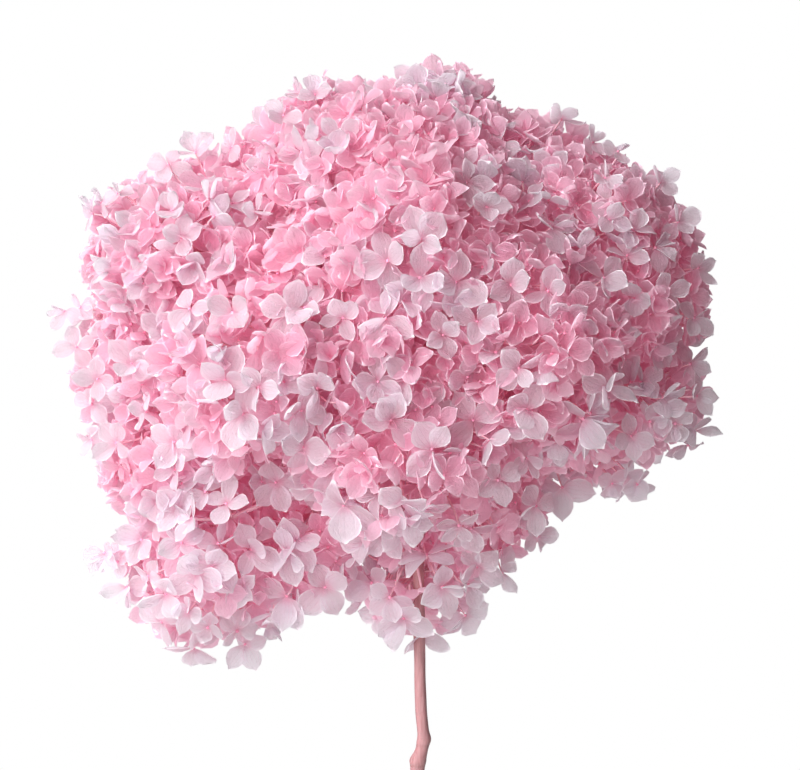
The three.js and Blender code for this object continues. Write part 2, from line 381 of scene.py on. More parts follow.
def readStem():  # the frame's stem ring by ring: heights, middles and radii
    points = np.array([vertex.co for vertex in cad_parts["stem"].data.vertices])
    heights = np.unique(points[:, 2].round(5))
    rings = [points[np.abs(points[:, 2] - height) < 0.02 * mm] for height in heights]
    middles = np.array([(ring[:, :2].min(0) + ring[:, :2].max(0)) / 2 for ring in rings])
    radii = np.array([(ring[:, 0].max() - ring[:, 0].min()) / 2 for ring in rings])
    return heights, middles, radii


stemHeights, stemMiddles, stemRadii = readStem()
stemTop = stemHeights[-1]


def stemAt(heights):  # the stem's middle at each height
    across, depth = (np.interp(heights, stemHeights, stemMiddles[:, i]) for i in range(2))
    return np.stack([across, depth, heights], -1)


stemLook = {
    "skin": (0.46, 0.21, 0.22),
    "light": (0.58, 0.31, 0.32),
    # scar: the colour of the bud scars and specks, also used as painted shade in the grooves
    "scar": (0.26, 0.10, 0.10),
    "roughness": (0.35, 0.65),
}


def stemFinish():
    look = stemLook
    f = Finish(bpy.data.materials.new("stem_bark"))
    _, scar, ridge = f.marks()
    grain = f.noise(1400, 5, (1, 1, 0.08))
    specks = f.step(0.62, 0.72, f.noise(900, 2))
    colour = f.mix(look["skin"], look["light"], f.step(0.2, 0.8, grain))
    colour = f.mix(colour, look["scar"], specks * 0.15 + scar * 0.6)
    # Painted shade: the grooves between the ridges are darkened a little with the scar colour.
    colour = f.mix(colour, look["scar"], (1 - ridge) * 0.08)
    dull, duller = look["roughness"]
    return f.finished(f.node("ShaderNodeBsdfPrincipled", None, {
        "Base Color": colour, "Roughness": dull + grain * (duller - dull),
        "Normal": f.bump(grain + specks * 0.5, 0.3, 0.0003),
        "Subsurface Weight": 0.15, "Subsurface Radius": (0.003, 0.001, 0.001),
    }))


def makeStem():
    plan = stemPlan
    turn, faces, cells = closedTube(plan["steps"], plan["sides"])
    heights = np.linspace(stemHeights[0], stemTop, plan["steps"])
    lines = [*stemAt(heights).T[:2], np.interp(heights, stemHeights, stemRadii)]
    wide = plan["smoothing"]
    lines = [np.pad(line, wide // 2, mode="edge") for line in lines]
    across, depth, radius = (np.convolve(line, np.ones(wide) / wide, "valid")[:, None] for line in lines)
    heights = heights[:, None] + 0 * turn
    up = heights - stemHeights[0]
    ridge = 0.5 + 0.5 * np.cos(turn * plan["ridges"] + up * plan["ridgeTwist"])
    lumps = np.sin(up * 190 + turn * 2) * 0.5 + np.sin(up * 420 - turn * 3 + 1) * 0.3
    lumps = lumps + np.sin(up * 71 + turn) * 0.6
    radius = radius - plan["ridgeDepth"] * (1 - ridge) + plan["lumps"] * (lumps - 0.6)
    scar = np.zeros_like(radius)
    for joint, facing in plan["joints"].items():
        side = np.clip(np.cos(turn - facing), 0, 1) ** 3
        above = heights - joint
        thick, tall = plan["swelling"]
        radius = radius + thick * np.exp(-(above / tall) ** 2)
        thick, tall, place = plan["bud"]
        radius = radius + thick * side * np.exp(-((above - place) / tall) ** 2)
        tall, place = plan["scar"]
        scar = scar + (0.4 + 0.6 * side) * np.exp(-((above - place) / tall) ** 2)
    points = np.stack([across + np.cos(turn) * radius, depth + np.sin(turn) * radius, heights], -1)
    heap = Heap()
    heap.add(points, np.stack([up / up.max(), scar, ridge], -1), faces, cells)
    return heap.build("stem_bark", stemFinish())


headPlan = {
    "most": 9000,  # florets in all
    "domes": 175,  # small round sprays, which the florets belong to
    "domeWays": 6000,  # tries at placing them
    "domeSpacing": 22 * mm,
    "domeRadius": (14 * mm, 19 * mm),
    "domeLean": 0.15,
    "domeRoot": 0.5,  # where its stalks start, as a share of its radius behind its middle
    "domeSpread": 1.5,  # radians from a dome's axis that its florets reach
    "domeTries": 70,
    "domeSurface": (0.88, 1.08),  # how far from a dome's middle its florets are, in radii
    "spacing": 7.6 * mm,  # the least between two florets' middles
    "inset": 4.5 * mm,  # of the outermost middles below the clusters' edge
    "facingJitter": (0.42, 0.4, 0.6),  # on the domes, behind the florets that stand out, and below
    "stemRoom": 6 * mm,  # kept free around the stem
    # None is put within so many pixels of a floret that stands out, unless it is so far behind it.
    "clearView": ((36, 1 * mm), (22, 6 * mm)),
    "markedDepth": 3 * mm,  # of the florets that stand out, behind the clusters' edge
    "stalk": 14 * mm,
    "shallowest": 3 * mm,  # what a lower floret must be buried by
}

# Behind each floret that stands out: tries, how far behind, how far aside, how deep, and the least behind it.
backing = {"tries": 5, "behind": (8 * mm, 13 * mm), "aside": 6 * mm, "deep": 4 * mm, "least": 6 * mm}

# The layers below: tries, how far out in a cluster as a share, the deepest one, and the spacing.
lowerLayers = (
    (50000, (0.82, 0.98), 15 * mm, 5.0 * mm),
    (16000, (0.60, 0.86), 24 * mm, 6.6 * mm),
)

# Florets that stand out in the photo: the heart's column and row, then the tip of each petal that shows,
# with the share of its width that is seen where it stands nearly edge on.
outstanding = {
    "crown": (
        ((315, 95), (309, 74), (321, 74), (331, 92), (300, 100)),
        ((300, 93), (297, 75, 0.3), (290, 88, 0.5), (288, 104, 0.8)),
        ((284, 116), (266, 102), (276, 98, 0.8), (270, 122)),
        ((231, 148), (224, 132), (239, 130, 0.6), (217, 151)),
        ((561, 120), (586, 122, 0.4), (578, 106), (560, 103, 0.6), (545, 112)),
        ((593, 143), (587, 127, 0.6), (603, 137, 0.5), (581, 152)),
        ((618, 152), (625, 140, 0.4), (628, 145, 0.5), (600, 146)),
    ),
    "upperLeft": (
        ((196, 153), (184, 133), (212, 133), (181, 158, 0.5), (214, 152)),
        ((169, 165), (174, 145), (146, 163), (193, 172), (160, 185)),
        ((119, 193), (104, 192), (118, 188, 0.4), (110, 208, 0.5)),
        ((102, 203), (98, 189, 0.25), (108, 218, 0.4), (90, 194, 0.5)),
        ((93, 214), (84, 194, 0.4), (91, 192, 0.4), (79, 205, 0.6), (97, 232, 0.4)),
        ((182, 238), (204, 231), (186, 214), (164, 232), (190, 258)),
        ((190, 309), (178, 288), (174, 329), (210, 309), (205, 334)),
        ((233, 313), (207, 301), (210, 330), (249, 300), (245, 329)),
        ((256, 213), (246, 212), (270, 222, 0.4), (262, 196, 0.5)),
        ((172, 211), (162, 192), (178, 193, 0.8), (186, 212), (166, 224)),
    ),
    "leftEdge": (
        ((65, 311), (47, 315, 0.6), (52, 305, 0.35), (54, 331), (82, 320)),
        ((81, 307), (70, 294, 0.7), (98, 303), (70, 326), (95, 319)),
        ((77, 347), (54, 354), (90, 366), (96, 340), (70, 328)),
        ((98, 379), (74, 376), (98, 358), (118, 385), (100, 401)),
        ((92, 404), (70, 397), (108, 422), (118, 400), (92, 391, 0.4)),
        ((117, 443), (101, 424), (122, 422), (95, 459), (128, 455, 0.6)),
        ((92, 440), (76, 438, 0.6), (84, 455, 0.8), (98, 430)),
        ((132, 364), (113, 340), (155, 376), (151, 350), (122, 383)),
        ((146, 412), (152, 394, 0.3), (145, 431, 0.3), (157, 425, 0.5)),
    ),
    "middle": (
        ((421, 239), (411, 206), (441, 217), (440, 252), (402, 240)),
        ((388, 261), (378, 230), (406, 250), (392, 294), (354, 272)),
        ((420, 278), (422, 243), (444, 293), (401, 295), (424, 312)),
        ((292, 313), (296, 281), (260, 304), (277, 348), (314, 330)),
        ((305, 308), (320, 284), (322, 315), (298, 284)),
        ((386, 318), (394, 285), (414, 336), (366, 349), (361, 331, 0.5)),
        ((343, 318), (334, 301), (359, 304), (352, 340), (320, 324)),
        ((487, 207), (471, 201), (495, 192), (511, 208), (490, 227)),
        ((443, 335), (457, 325), (450, 359), (427, 346), (436, 312)),
        ((477, 322), (451, 311), (473, 342), (494, 304), (499, 331)),
        ((456, 282), (451, 316), (461, 251), (485, 304), (431, 290)),
        ((473, 420), (455, 392), (502, 401), (497, 432), (447, 446)),
        ((432, 449), (446, 426), (416, 423), (406, 474), (434, 480, 0.3)),
        ((391, 420), (401, 393), (361, 428), (418, 445), (375, 398)),
        ((378, 382), (381, 353), (353, 384), (401, 396), (371, 404)),
        ((519, 368), (502, 352), (497, 386), (545, 357, 0.35), (531, 389)),
        ((527, 410), (507, 396), (538, 384), (542, 439), (520, 426)),
        ((243, 414), (251, 385), (259, 439), (231, 455), (222, 407)),
        ((317, 388), (335, 376), (298, 379), (322, 359, 0.6), (308, 419, 0.4)),
        ((276, 482), (272, 460), (309, 483), (287, 510), (257, 504)),
        ((262, 481), (248, 482), (255, 464, 0.6), (264, 499)),
        ((199, 403), (195, 374), (212, 381), (215, 399, 0.35), (179, 412)),
        ((225, 380), (240, 346), (204, 364, 0.8), (252, 382, 0.8)),
        ((259, 387), (280, 366), (256, 411, 0.3), (246, 371), (283, 393)),
        ((303, 447), (300, 412), (281, 439), (329, 453)),
        ((498, 480), (486, 461), (516, 466), (477, 493), (505, 506)),
        ((511, 285), (512, 259), (511, 318), (492, 298), (529, 281)),
        ((551, 228), (577, 221), (561, 255), (543, 262), (534, 223, 0.5)),
        ((459, 525), (437, 524, 0.6), (441, 540, 0.6), (477, 514, 0.5)),
        ((344, 505), (320, 512), (347, 545), (384, 533, 0.8), (330, 490, 0.5)),
        ((400, 503), (425, 500, 0.5), (403, 527, 0.6), (430, 520, 0.3), (382, 490)),
    ),
    "rightSide": (
        ((605, 178), (593, 186), (622, 189), (609, 158, 0.4), (604, 201)),
        ((609, 220), (593, 203), (618, 203), (631, 229), (600, 232)),
        ((633, 231), (641, 209), (656, 234, 0.5), (616, 226, 0.6), (626, 249)),
        ((604, 278), (620, 258), (623, 287), (603, 299, 0.5), (575, 264, 0.6)),
        ((627, 256), (648, 262), (627, 231, 0.8), (643, 239, 0.7), (607, 252, 0.5)),
        ((655, 248), (667, 232, 0.5), (675, 244, 0.4), (674, 258, 0.5), (663, 273)),
        ((634, 298), (614, 316, 0.5), (631, 320), (652, 305), (628, 280)),
        ((660, 183), (663, 166), (680, 171), (675, 195), (650, 172, 0.5)),
        ((678, 222), (700, 213), (688, 239), (664, 240), (672, 208, 0.5)),
        ((698, 268), (717, 260, 0.8), (706, 250, 0.6), (712, 287, 0.7), (690, 255)),
        ((694, 318), (713, 334), (709, 311, 0.6), (688, 336)),
        ((548, 291), (554, 265), (527, 305, 0.6), (566, 286), (548, 316)),
    ),
    "rightEdge": (
        ((586, 423), (555, 441, 0.5), (567, 468, 0.3), (579, 460, 0.3), (594, 453, 0.25)),
        ((583, 418), (563, 403, 0.3), (618, 427, 0.5), (610, 417, 0.3), (604, 447, 0.8)),
        ((590, 413), (611, 401), (596, 390), (584, 396, 0.3), (602, 418)),
        ((631, 382), (598, 375, 0.8), (635, 358, 0.5), (616, 364, 0.9)),
        ((641, 382), (661, 368, 0.8), (642, 364, 0.4)),
        ((663, 398), (639, 387, 0.6), (667, 380, 0.4), (684, 389, 0.4)),
        ((606, 388), (638, 391, 0.5), (597, 407, 0.6), (609, 372, 0.5)),
        ((661, 412), (678, 391, 0.8), (686, 404), (664, 436)),
        ((650, 421), (664, 421, 0.7), (660, 437, 0.8), (640, 441), (643, 401, 0.4)),
        ((631, 436), (634, 461), (611, 445), (626, 414), (654, 444)),
        ((675, 423), (668, 441), (690, 412), (684, 438), (664, 408)),
        ((696, 396), (719, 397), (697, 373, 0.6), (711, 415), (685, 389)),
        ((690, 364), (704, 346, 0.6), (709, 374), (692, 386), (682, 347)),
        ((695, 431), (721, 429, 0.6), (682, 415), (704, 416, 0.6), (684, 443)),
        ((688, 445), (665, 454, 0.5), (706, 447, 0.5), (673, 457, 0.6)),
        ((624, 478), (625, 461, 0.3), (645, 498), (640, 469, 0.8), (621, 503, 0.35)),
        ((637, 484), (655, 491, 0.7), (644, 470, 0.5)),
        ((612, 483), (607, 499), (597, 477), (621, 497)),
        ((562, 487), (537, 482, 0.6), (579, 471, 0.5), (602, 495), (562, 523)),
        ((536, 506), (522, 486), (536, 536), (517, 513, 0.6), (556, 500)),
        ((527, 458), (518, 436), (542, 459, 0.7), (531, 477, 0.5), (511, 472)),
    ),
    "lowerLeft": (
        ((105, 553), (81, 555), (91, 575), (118, 545)),
        ((118, 562), (96, 568), (126, 580), (134, 555, 0.6)),
        ((142, 540), (117, 529), (114, 545, 0.6), (130, 565), (155, 557)),
        ((198, 572), (166, 592), (224, 585), (182, 557), (205, 600, 0.6)),
        ((212, 567), (186, 558), (222, 544), (237, 572), (232, 592)),
        ((245, 644), (229, 666), (256, 669), (267, 637), (241, 621)),
        ((194, 648), (163, 647, 0.3), (189, 665), (213, 664, 0.7), (197, 630, 0.5)),
        ((162, 622), (171, 645, 0.5), (141, 604), (152, 631)),
        ((237, 631), (222, 641, 0.6), (221, 616), (257, 630), (243, 609)),
        ((287, 596), (269, 608), (284, 640), (305, 636), (261, 580)),
        ((325, 587), (301, 614), (338, 614), (347, 575), (312, 564)),
        ((277, 534), (249, 531), (301, 544), (271, 516, 0.6), (307, 526)),
        ((251, 549), (242, 576), (279, 569), (240, 523), (270, 541)),
        ((288, 551), (297, 587), (275, 573, 0.5), (306, 563, 0.6)),
        ((296, 541), (313, 571), (319, 545, 0.7), (288, 560, 0.4)),
        ((127, 587), (101, 591), (122, 600, 0.5), (136, 605, 0.5), (149, 584)),
        ((149, 576), (132, 568, 0.5), (166, 579), (139, 589, 0.6), (160, 560)),
        ((166, 594), (137, 600, 0.6), (179, 617), (171, 579), (157, 618)),
        ((218, 544), (196, 537, 0.8), (237, 544, 0.3), (211, 561), (222, 519, 0.4)),
        ((188, 612), (191, 597, 0.4), (180, 634), (206, 617), (172, 606)),
        ((208, 627), (200, 640), (226, 633, 0.7), (212, 610)),
    ),
    "lowMiddle": (
        ((442, 587), (421, 602), (452, 618), (440, 562), (462, 582, 0.6)),
        ((427, 555), (404, 567, 0.35), (457, 545, 0.3), (453, 563, 0.6), (399, 560, 0.5)),
        ((390, 597), (371, 586), (413, 606, 0.8), (370, 612), (396, 621)),
        ((404, 618), (379, 635), (433, 634), (397, 653, 0.7), (419, 605)),
        ((420, 636), (450, 645, 0.75), (404, 645, 0.3), (406, 655, 0.4)),
        ((468, 585), (479, 608), (487, 592, 0.6), (457, 577, 0.5), (477, 578, 0.4)),
        ((465, 615), (478, 635), (439, 623), (487, 605), (448, 637, 0.4)),
        ((477, 567), (458, 575, 0.6), (502, 584), (493, 556)),
        ((502, 572), (517, 592, 0.7), (514, 560), (512, 547)),
        ((471, 528), (452, 544, 0.6), (497, 527, 0.4), (475, 553)),
        ((372, 583), (350, 598), (351, 577), (386, 570)),
        ((537, 536), (552, 534), (540, 547, 0.7), (521, 548)),
    ),
}


# Every floret's middle, the way it faces, the foot of its stalk, its layer and its petals' tips.
class Florets:
    def __init__(self):
        self.middles = np.zeros((headPlan["most"], 3))
        self.seen = np.zeros((headPlan["most"], 2))
        self.faces, self.roots, self.layers, self.tips = [], [], [], []
        self.marked = 0  # how many of them, the first ones, stand out in the photo

    def place(self, middle, facing, root, layer, spacing, tips=None):
        count, marked = len(self.layers), self.marked
        seen = toPixel(middle)
        if tips is None:
            others = self.middles[:count] - middle
            aside = np.linalg.norm(self.seen[:marked] - seen, axis=1)
            behind = others[:marked, 1]
            hides = any(((aside < gap) & (behind > -free)).any() for gap, free in headPlan["clearView"])
            fromStem = np.linalg.norm(middle - stemAt(middle[2]))
            onStem = middle[2] < stemTop and fromStem < headPlan["stemRoom"]
            if hides or onStem or (others ** 2).sum(1).min() < spacing ** 2:
                return
        self.middles[count] = middle
        self.seen[count] = seen
        self.faces.append(facing)
        self.roots.append(root)
        self.layers.append(layer)
        self.tips.append(tips)


def placeDomes():
    ways = randomWays(headPlan["domeWays"])
    reach, normal = edgeOfHead(ways)
    middles, axes, radii = [], [], []
    for way, far, out in zip(ways, reach, normal):
        radius = rng.uniform(*headPlan["domeRadius"])
        middle = headMiddle + way * (far - headPlan["inset"] - radius)
        apart = min((np.linalg.norm(other - middle) for other in middles), default=1)
        if len(middles) < headPlan["domes"] and apart > headPlan["domeSpacing"]:
            middles.append(middle)
            axes.append(unit(way + out + rng.normal(0, headPlan["domeLean"], 3)))
            radii.append(radius)
    return np.array(middles), np.array(axes), np.array(radii)


def placeFlorets(domes):
    florets = Florets()
    stalk = headPlan["stalk"]
    onDomes, behind, below = headPlan["facingJitter"]
    for region in outstanding.values():
        for heart, *tips in region:
            spot, out = frontOfHead(*heart)
            spot = spot + pixelRay(*heart) * headPlan["markedDepth"]
            florets.place(spot, out, spot - unit(out + unit(spot - headMiddle)) * stalk, 0, 0, tips)
    florets.marked = len(florets.layers)
    for middle in np.repeat(florets.middles[:florets.marked], backing["tries"], 0):
        spot = middle + ahead * rng.uniform(*backing["behind"]) + rng.normal(0, backing["aside"], 3)
        if buried(spot[None])[0] > backing["deep"] and spot[1] > middle[1] + backing["least"]:
            facing = unit(unit(spot - headMiddle) - ahead * 0.5 + rng.normal(0, behind, 3))
            florets.place(spot, facing, spot - facing * stalk, 1, lowerLayers[0][-1])
    for middle, axis, radius in zip(*domes):
        for way in waysRound(axis, headPlan["domeSpread"], headPlan["domeTries"]):
            spot = middle + way * radius * rng.uniform(*headPlan["domeSurface"])
            facing = unit(way + rng.normal(0, onDomes, 3))
            root = middle - axis * radius * headPlan["domeRoot"]
            florets.place(spot, facing, root, 0, headPlan["spacing"])
    ats, halves = (np.array(values) * headUnit for values in zip(*clusters.values()))
    size = (halves.prod(1)) ** (2 / 3)
    for layer, (tries, outwards, deepest, spacing) in enumerate(lowerLayers, 1):
        pick = rng.choice(len(ats), tries, p=size / size.sum())
        ways = randomWays(tries)
        spots = headMiddle + ats[pick] + ways * halves[pick] * rng.uniform(*outwards, (tries, 1))
        depth = buried(spots)
        for spot, way, deep in zip(spots, ways, depth):
            if headPlan["shallowest"] < deep < deepest:
                facing = unit(way + rng.normal(0, below, 3))
                florets.place(spot, facing, spot - way * stalk, layer, spacing)
    print("florets:", florets.marked, "by the photo,", len(florets.layers) - florets.marked, "others")
    return florets


petalPlan = {
    "length": (8.4 * mm, 10.8 * mm),
    "lengthEach": (0.88, 1.08),  # petal by petal, as a share
    "halfWidth": (0.40, 0.04),  # of the length: the usual one and its spread
    "thickness": 0.32 * mm,
    "turnEach": 0.09,  # how unevenly the four are set round the heart, in radians
    "lift": (0.38, 0.32),  # of a floret's petals towards the way it faces: the usual one and its spread
    "liftLimits": (-0.15, 1.15),
    "liftEach": 0.20,
    "roll": (0.12, 0.22),
    "tone": (0.20, 0.08),  # how much deeper the pink is at most, by the floret and by the petal
    "buriedTone": (5 * mm, 12 * mm, 0.7),  # painted shade, partly the inner florets' own colour: where the pink starts to deepen inside the head, over how much, how far
    "widest": (0.46, 0.58),  # where along a petal
    "foot": 0.17,  # the width at the foot, as a share
    "claw": (0.78, 1.15),  # low: it widens early
    "point": (0.62, 1.02),  # high: a pointed tip
    "cup": (0.40, 0.35),
    "arch": (0.02, 0.14),
    "fold": 0.12,
    "curl": (0.05, 0.35),
    "ripple": 0.03,
    "heartGap": 0.5 * mm,  # from the floret's middle to a petal's foot
    "overlap": 0.35 * mm,  # how far every other petal lies above its neighbours
    # Grid lines across and along a petal, for the outermost florets and for each layer below.
    "grids": (
        ((-1, -0.88, -0.45, 0, 0.45, 0.88, 1), (0, 0.16, 0.36, 0.57, 0.77, 0.90, 0.965, 1)),
        ((-1, -0.75, 0, 0.75, 1), (0, 0.25, 0.52, 0.77, 0.93, 1)),
        ((-1, -0.6, 0, 0.6, 1), (0, 0.30, 0.62, 0.87, 1)),
    ),
    "outerPieces": 12,
    "innerPieces": 12,
    "insideFrom": 8 * mm,  # florets deeper than this have the inner look
}

shownPetals = {
    "fromTips": 0.93,  # a floret's petal length, as a share of the way to its furthest tip
    "lengths": (8.6 * mm, 11.5 * mm),  # its limits
    "longest": 13.5 * mm,
    "seen": (0.93, 1.0),  # the share of a petal's width that is seen, unless another is given
    "hidden": (0.8, 0.9),  # a petal that isn't shown: its reach, and the share of its width
    "forwards": 0.35,  # how far one leans the way its floret faces
    # painted highlight: the florets that stand out in front are made paler, their tone scaled by this
    "tone": 0.5,
}

outerLook = {
    "pale": (0.97, 0.965, 0.988),
    "deep": (0.995, 0.55, 0.71),
    "base": (0.99, 0.38, 0.55),  # where a petal meets the floret's heart
    # rim: a painted highlight along each petal's edge
    "rim": (1.0, 0.98, 1.0),
    "vein": (0.99, 0.60, 0.75),
    "shineThrough": (0.985, 0.955, 0.985),
    "clear": (0.80, 0.92),  # the share of light that goes through, where a petal is pale and where deep
    "rimClear": 0.46,
    "veinShade": 0.12,  # how much less goes through a vein, and through the grain
    "grainShade": 0.06,
    "blotches": 0.12,
    "veins": 0.55,
    "bases": 0.75,
    "relief": (0.6, 0.0006),
    "roughness": 0.55,
    "specular": 0.25,
    "sheen": (0.12, 0.4),
    "glowColour": (1.0, 0.33, 0.53),
    "glow": 0.0,
}

# The inner florets' look: deeper pinks, partly their own colour and partly painted shade of the head's
# hollows, and a glow.
innerLook = outerLook | {
    "pale": (1.0, 0.75, 0.865),
    "deep": (1.0, 0.44, 0.60),
    "rim": (1.0, 0.88, 0.94),
    "shineThrough": (1.0, 0.875, 0.925),
    "glow": 0.085,  # stands in for the light that is scattered about inside the head
}


def petalFinish(name, look):
    f = Finish(bpy.data.materials.new(name))
    across, along, tone = f.marks()
    side = abs(across)
    outwards = side.atLeast(along)
    blotch = f.step(0.35, 0.75, f.noise(220, 4))
    colour = f.mix(look["pale"], look["deep"], tone + blotch * look["blotches"])
    fan = (side * 8 + along * side * 5 - along * 1.5) + f.noise(420, 3) * 3.2
    veins = f.step(0.90, 0.99, abs(fan.sine())) * f.step(0.04, 0.30, side)
    lines = veins.atLeast(1 - f.step(0.0, 0.05, side)) * (1 - f.step(0.80, 0.97, outwards))
    colour = f.mix(colour, look["vein"], lines * f.step(0.3, 0.7, f.noise(150, 3)) * look["veins"])
    colour = f.mix(colour, look["base"], (1 - f.step(0.02, 0.30, along)) * look["bases"])
    # Painted highlight: a whiter rim along each petal's edge stands in for the light its curled edge catches.
    edge = f.step(0.88, 0.96, outwards)
    colour = f.mix(colour, look["rim"], edge)
    grain = f.noise(1100, 4)
    relief = f.bump(grain - lines * 0.5, *look["relief"])
    sheen, sheenRoughness = look["sheen"]
    sheet = f.node("ShaderNodeBsdfPrincipled", None, {
        "Base Color": colour, "Roughness": look["roughness"], "Normal": relief,
        "Specular IOR Level": look["specular"], "Sheen Weight": sheen, "Sheen Roughness": sheenRoughness,
        "Emission Color": look["glowColour"], "Emission Strength": look["glow"],
    })
    through = f.node("ShaderNodeBsdfTranslucent", None, {"Color": look["shineThrough"], "Normal": relief})
    thick, thin = look["clear"]
    clear = thick + f.step(0, 0.4, tone) * (thin - thick)
    clear = clear - lines * look["veinShade"] - f.step(0.5, 0.75, grain) * look["grainShade"]
    clear = clear * (1 - edge) + edge * look["rimClear"]
    return f.finished(f.node("ShaderNodeMixShader", None, {0: clear, 1: sheet, 2: through}))


def petalsAtRandom(facing):  # each petal's way out and its upper side
    plan = petalPlan
    one, each = (len(facing), 1), (len(facing), 4)
    facing = facing[:, None]
    right, up = sidewaysOf(facing)
    turn = rng.uniform(0, np.pi, one) + np.arange(4) * np.pi / 2 + rng.normal(0, plan["turnEach"], each)
    lift = np.clip(rng.normal(*plan["lift"], one), *plan["liftLimits"])
    lift = lift + rng.normal(0, plan["liftEach"], each)
    roll = rng.normal(*plan["roll"], each)
    turn, lift, roll = turn[..., None], lift[..., None], roll[..., None]
    out = right * np.cos(turn) + up * np.sin(turn)
    aside = np.cross(out, facing)
    upright = facing * np.cos(lift) - out * np.sin(lift)
    return out * np.cos(lift) + facing * np.sin(lift), upright * np.cos(roll) - aside * np.sin(roll)


def petalsByTips(heart, facing, tips):  # the same for one floret whose petal tips are known in the picture
    plan = shownPetals
    near = (heart[1] - cameraPlace[1]) / view["distance"] * view["metresPerPixel"]
    column, row = toPixel(heart)
    flats = [np.array([(tip[0] - column) * near, 0, (row - tip[1]) * near]) for tip in tips]
    shares = [tip[2] if len(tip) > 2 else rng.uniform(*plan["seen"]) for tip in tips]
    size = np.clip(plan["fromTips"] * max(np.linalg.norm(flat) for flat in flats), *plan["lengths"])
    while len(flats) < 4:  # a petal that doesn't show stands in the widest gap, leaning back
        angles = np.sort([math.atan2(flat[2], flat[0]) for flat in flats])
        gaps = np.diff(np.append(angles, angles[0] + 2 * np.pi))
        middle = angles[gaps.argmax()] + gaps.max() / 2
        flats.append(np.array([math.cos(middle), 0, math.sin(middle)]) * size * plan["hidden"][0])
        shares.append(plan["hidden"][1])
    ways, uprights, lengths = [], [], []
    for flat, share in zip(flats, shares):
        length = max(size, min(np.linalg.norm(flat), plan["longest"]))
        deep = math.sqrt(max(length ** 2 - flat @ flat, 0))
        choices = [unit(flat + [0, side * deep, 0]) for side in (-1, 1)]
        way = min(choices, key=lambda choice: abs(choice @ facing - plan["forwards"]))
        front = unit(np.array([0, -1.0, 0]) + way * way[1])
        turned = np.cross(way, front)
        roll = math.acos(share) * (1 if turned @ facing >= 0 else -1)
        ways.append(way)
        uprights.append(front * math.cos(roll) + turned * math.sin(roll))
        lengths.append(length)
    return ways, uprights, lengths


# Painted shade where the pink is deeper and painted highlight where it is paler: a spot's place from the
# head's middle, its reach and how much.
paintedLightSpots = (
    ((62, -40, 8), 42, 0.30),
    ((5, -60, -10), 40, 0.08),
    ((-80, -20, -100), 45, -0.30),
    ((15, -15, -100), 40, -0.15),
    ((-70, -20, 60), 45, -0.10),
)


def floretTraits(florets):  # what varies from floret to floret and from petal to petal
    plan = petalPlan
    count = len(florets.layers)
    middle = florets.middles[:count]
    each = (count, 4)
    layer = np.array(florets.layers)
    facing = np.array(florets.faces)
    spot = (middle - headMiddle) / headUnit
    # painted light and shade: the pink is deeper on the shaded right and paler on the left and low down
    paintedLight = sum(gain * np.exp(-((spot - at) ** 2).sum(1) / reach ** 2) for at, reach, gain in paintedLightSpots)
    # Painted shade, partly the inner florets' own colour: the pink deepens the further a floret lies inside
    # the head.
    depth = buried(middle)
    start, over, most = plan["buriedTone"]
    shade = np.clip((depth - start) / over, 0, 1) * most
    most, petalTone = plan["tone"]
    tone = rng.uniform(0, most, (count, 1)) + rng.uniform(-petalTone, petalTone, each)
    tone = tone + (paintedLight + shade)[:, None]
    way, upright = petalsAtRandom(facing)
    length = rng.uniform(*plan["length"], (count, 1)) * rng.uniform(*plan["lengthEach"], each)
    for i, tips in enumerate(florets.tips):
        if tips:
            way[i], upright[i], length[i] = petalsByTips(florets.middles[i], facing[i], tips)
            facing[i] = unit(way[i].sum(0) * 0.5 + upright[i].sum(0))
            # painted highlight: paler tone for the florets that stand out in front
            tone[i] *= shownPetals["tone"]
    return {
        "middle": middle,
        "facing": facing,
        "root": np.array(florets.roots),
        "layer": layer,
        "inside": (layer > 0) | (depth > plan["insideFrom"]),
        "way": way,
        "upright": upright,
        "length": length,
        "tone": np.clip(tone, 0, 1),
        "width": rng.normal(*plan["halfWidth"], each),
        "widest": rng.uniform(*plan["widest"], each),
        "claw": rng.uniform(*plan["claw"], each),
        "point": rng.uniform(*plan["point"], each),
        "cup": rng.normal(*plan["cup"], each),
        "arch": rng.normal(*plan["arch"], each),
        "fold": np.abs(rng.normal(0, plan["fold"], each)),
        "curl": rng.normal(*plan["curl"], each),
        "wave": rng.uniform(0, 6.28, each),
    }


def petalShape(across, along, p):  # points of petals that lie along +Y, from the two numbers of their grid
    side = np.abs(across)
    rise = np.sin(np.clip(along / p["widest"], 0, 1) * np.pi / 2) ** p["claw"]
    fall = (1 - (np.clip(along - p["widest"], 0, 1) / (1.03 - p["widest"])) ** 2) ** p["point"]
    x = across * (petalPlan["foot"] + (1 - petalPlan["foot"]) * rise) * fall * p["width"]
    y = along - side ** 2 * (0.08 * along ** 4 - p["widest"] * 0.06 * (1 - along) ** 2)
    z = p["cup"] * x ** 2 + p["arch"] * along ** 2 + p["fold"] * np.abs(x)
    z = z + petalPlan["ripple"] * np.sin(p["wave"] + along * 7 + across * 2.2) * side ** 2 * along
    z = z + p["curl"] * np.clip(along - 0.6, 0, 1) ** 2 * 2
    return np.stack([x, y + 0 * z, z], -1) * p["length"][..., None]


